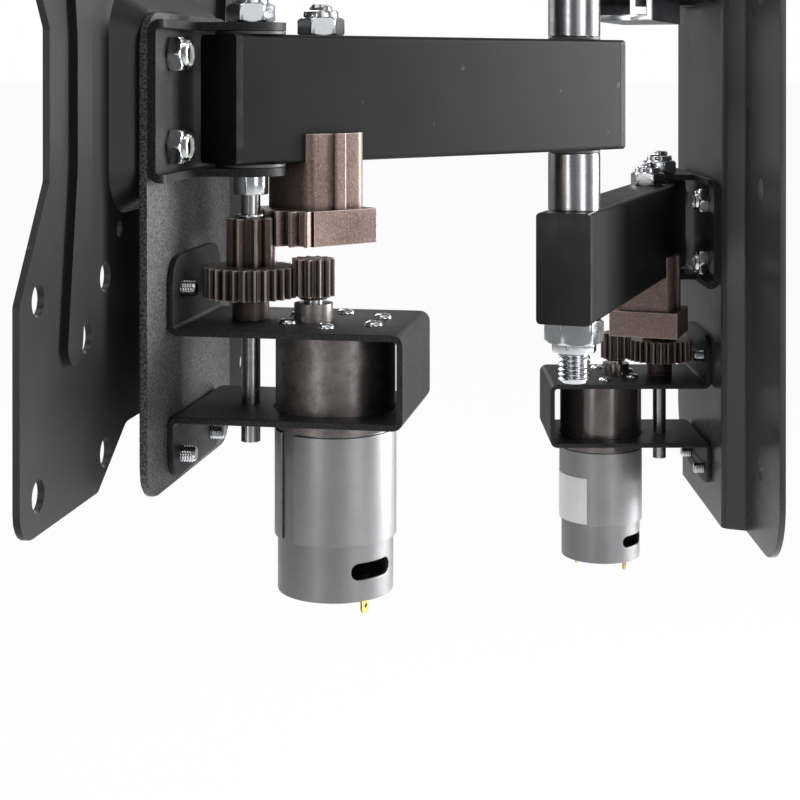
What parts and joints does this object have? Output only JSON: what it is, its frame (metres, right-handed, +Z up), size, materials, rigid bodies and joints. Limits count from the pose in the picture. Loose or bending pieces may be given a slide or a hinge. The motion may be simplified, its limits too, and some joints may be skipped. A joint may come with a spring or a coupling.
{
  "type": "motorized tv wall mount",
  "caption": "Full-motion television wall bracket with two folding arms, swung at both end pivots by geared electric motors.",
  "frame": {"origin": "middle of the wall bolt pattern, on the back of the wall plate", "axes": "+X along the wall, +Y into the wall, +Z up"},
  "size_m": [0.4633, 0.2493, 0.4065],
  "materials": {
    "black_sheet": "textured black powder coat",
    "black_satin": "smooth satin black paint",
    "zinc": "bright zinc and chrome plating",
    "sintered": "brown sintered and cast bronze-like metal",
    "gearbox_grey": "dark phosphated steel",
    "motor_grey": "dull grey plated steel",
    "brass": "plain brass",
    "black_plastic": "black moulded plastic",
    "nylon": "natural nylon",
    "shaft_steel": "ground steel",
    "ferrite": "ferrite magnet",
    "winding": "enamelled copper winding"
  },
  "bodies": {
    "wall_frame": {"wall_plate": "black_satin", "wall_clevis_upper": "black_sheet", "wall_clevis_lower": "black_sheet", "wall_clevis_bolts": "zinc", "wall_clevis_nuts": "zinc", "wall_motor_bracket": "black_sheet", "wall_bracket_screws": "zinc", "wall_gearbox_housing": "gearbox_grey", "wall_gearbox_screws": "zinc", "wall_motor_can": "motor_grey", "wall_flux_ring": "motor_grey", "wall_motor_end_cap": "black_plastic", "wall_motor_terminals": "brass", "wall_motor_magnets": "ferrite"},
    "rear_arm": {"rear_arm_upper": "black_satin", "rear_arm_lower": "black_satin", "rear_arm_caps": "black_plastic", "rear_arm_bushes": "nylon", "rear_arm_bolts": "zinc", "rear_arm_nuts": "zinc", "wall_arm_casting": "sintered", "wall_compound_gear": "sintered", "wall_gear_shaft": "shaft_steel", "wall_e_clip": "zinc", "elbow_spacers": "zinc", "elbow_bolt": "zinc", "elbow_nut": "zinc", "cable_clip": "zinc"},
    "front_arm": {"front_arm_tube": "black_satin", "front_arm_caps": "black_plastic", "front_arm_bushes": "nylon", "front_arm_bolts": "zinc", "front_arm_nuts": "zinc", "tv_arm_casting": "sintered", "tv_compound_gear": "sintered", "tv_gear_shaft": "shaft_steel", "tv_e_clip": "zinc"},
    "tv_head": {"tv_plate": "black_satin", "tv_spine": "black_sheet", "tv_clevis": "black_sheet", "tv_clevis_bolts": "zinc", "tv_clevis_nuts": "zinc", "tv_motor_bracket": "black_sheet", "tv_bracket_screws": "zinc", "tv_gearbox_housing": "gearbox_grey", "tv_gearbox_screws": "zinc", "tv_motor_can": "motor_grey", "tv_flux_ring": "motor_grey", "tv_motor_end_cap": "black_plastic", "tv_motor_terminals": "brass", "tv_motor_magnets": "ferrite"},
    "wall_pinion_shaft": {"wall_pinion": "sintered", "wall_output_shaft": "shaft_steel"},
    "wall_rotor": {"wall_armature": "winding"},
    "tv_pinion_shaft": {"tv_pinion": "sintered", "tv_output_shaft": "shaft_steel"},
    "tv_rotor": {"tv_armature": "winding"}
  },
  "joints": [
    {"name": "wall_pivot", "type": "hinge", "parent": "wall_frame", "child": "rear_arm", "pos_m": [0, -0.031, 0], "axis": [0, 0, 1], "range_deg": [-75, 8]},
    {"name": "elbow", "type": "hinge", "parent": "rear_arm", "child": "front_arm", "pos_m": [0.15552, -0.0876, 0], "axis": [0, 0, 1], "range_deg": [-60, 45]},
    {"name": "tv_pivot", "type": "hinge", "parent": "front_arm", "child": "tv_head", "pos_m": [0.2443, -0.19843, 0], "axis": [0, 0, 1], "range_deg": [-28, 60]},
    {"name": "wall_pinion_turn", "type": "hinge", "parent": "wall_frame", "child": "wall_pinion_shaft", "pos_m": [0, -0.051, 0], "axis": [0, 0, 1], "range_deg": [-20, 176]},
    {"name": "wall_rotor_turn", "type": "hinge", "parent": "wall_frame", "child": "wall_rotor", "pos_m": [0, -0.058, 0], "axis": [0, 0, 1], "range_deg": [-5251, 561]},
    {"name": "tv_pinion_turn", "type": "hinge", "parent": "tv_head", "child": "tv_pinion_shaft", "pos_m": [0.24785, -0.17874, 0], "axis": [0, 0, 1], "range_deg": [-67, 141]},
    {"name": "tv_rotor_turn", "type": "hinge", "parent": "tv_head", "child": "tv_rotor", "pos_m": [0.24908, -0.17185, 0], "axis": [0, 0, 1], "range_deg": [-4201, 1961]}
  ],
  "couplings": [
    {"joint": "wall_pinion_turn", "follows": "wall_pivot", "ratio": -2.3333},
    {"joint": "wall_rotor_turn", "follows": "wall_pivot", "ratio": 70},
    {"joint": "tv_pinion_turn", "follows": "tv_pivot", "ratio": 2.3333},
    {"joint": "tv_rotor_turn", "follows": "tv_pivot", "ratio": -70}
  ]
}
